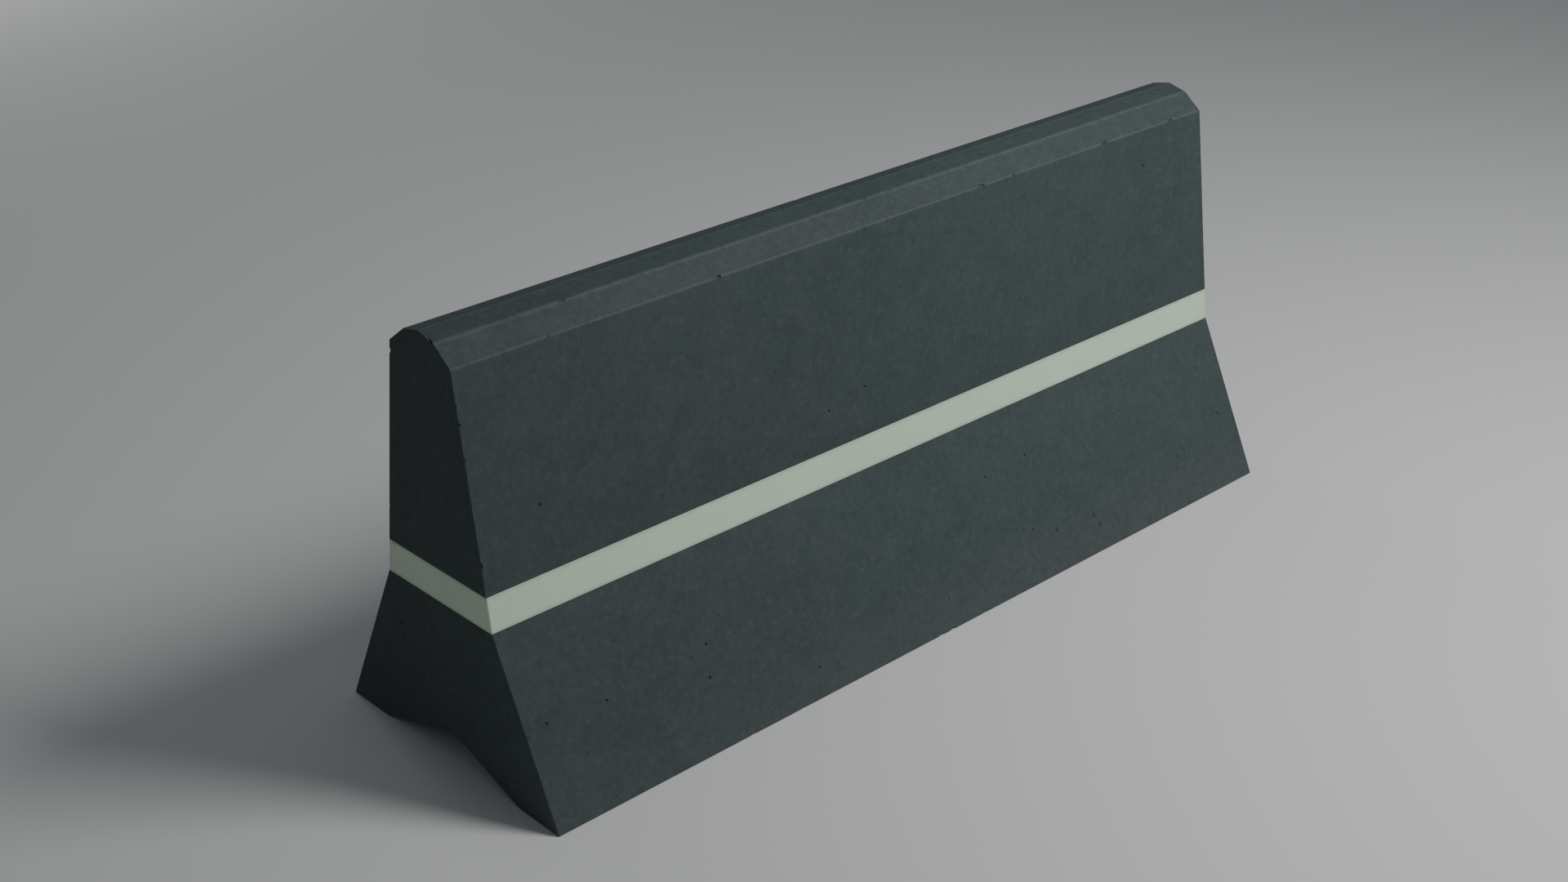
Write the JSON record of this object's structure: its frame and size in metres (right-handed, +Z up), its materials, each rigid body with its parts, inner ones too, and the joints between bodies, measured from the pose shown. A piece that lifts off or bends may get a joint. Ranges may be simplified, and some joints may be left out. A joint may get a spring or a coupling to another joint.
{
  "type": "concrete jersey barrier",
  "caption": "Free-standing precast concrete road barrier with flared feet, a tapered stem, a grooved underside, a flush pale marker band round the waist and a cast-in steel cage.",
  "frame": {"origin": "middle of the base, on the ground under the ridge", "axes": "+X along the barrier, +Y across it to the back face, +Z up"},
  "size_m": [1.9, 0.5976, 0.8099],
  "materials": {
    "concrete": "dark green-grey cast concrete, matt",
    "band_sheeting": "pale green-white reflective sheeting",
    "adhesive": "dark elastic bonding adhesive",
    "reinforcing_steel": "ribbed bar with mill scale and light rust",
    "tying_wire": "black annealed wire",
    "spacer_plastic": "grey moulded plastic"
  },
  "bodies": {
    "root": {"band_adhesive_back": "adhesive", "band_adhesive_front": "adhesive", "band_adhesive_left_end": "adhesive", "band_adhesive_right_end": "adhesive", "band_strip_back": "band_sheeting", "band_strip_front": "band_sheeting", "band_strip_left_end": "band_sheeting", "band_strip_right_end": "band_sheeting", "base_tie_1": "reinforcing_steel", "base_tie_2": "reinforcing_steel", "base_tie_3": "reinforcing_steel", "base_tie_4": "reinforcing_steel", "base_tie_5": "reinforcing_steel", "base_tie_6": "reinforcing_steel", "base_tie_7": "reinforcing_steel", "concrete_body": "concrete", "crown_bar_back": "reinforcing_steel", "crown_bar_front": "reinforcing_steel", "foot_bar_back": "reinforcing_steel", "foot_bar_front": "reinforcing_steel", "groove_bar_back": "reinforcing_steel", "groove_bar_front": "reinforcing_steel", "stem_bar_back": "reinforcing_steel", "stem_bar_front": "reinforcing_steel", "stirrup_1": "reinforcing_steel", "stirrup_2": "reinforcing_steel", "stirrup_3": "reinforcing_steel", "stirrup_4": "reinforcing_steel", "stirrup_5": "reinforcing_steel", "stirrup_6": "reinforcing_steel", "stirrup_7": "reinforcing_steel", "toe_bar_back": "reinforcing_steel", "toe_bar_front": "reinforcing_steel", "waist_bar_back": "reinforcing_steel", "waist_bar_front": "reinforcing_steel", "wheel_spacers_lower_back": "spacer_plastic", "wheel_spacers_lower_front": "spacer_plastic", "wheel_spacers_upper_back": "spacer_plastic", "wheel_spacers_upper_front": "spacer_plastic", "wire_ties_crown_back": "tying_wire", "wire_ties_crown_front": "tying_wire", "wire_ties_foot_back": "tying_wire", "wire_ties_foot_front": "tying_wire", "wire_ties_groove_back": "tying_wire", "wire_ties_groove_front": "tying_wire", "wire_ties_stem_back": "tying_wire", "wire_ties_stem_front": "tying_wire", "wire_ties_toe_back": "tying_wire", "wire_ties_toe_front": "tying_wire", "wire_ties_waist_back": "tying_wire", "wire_ties_waist_front": "tying_wire"}
  },
  "joints": []
}
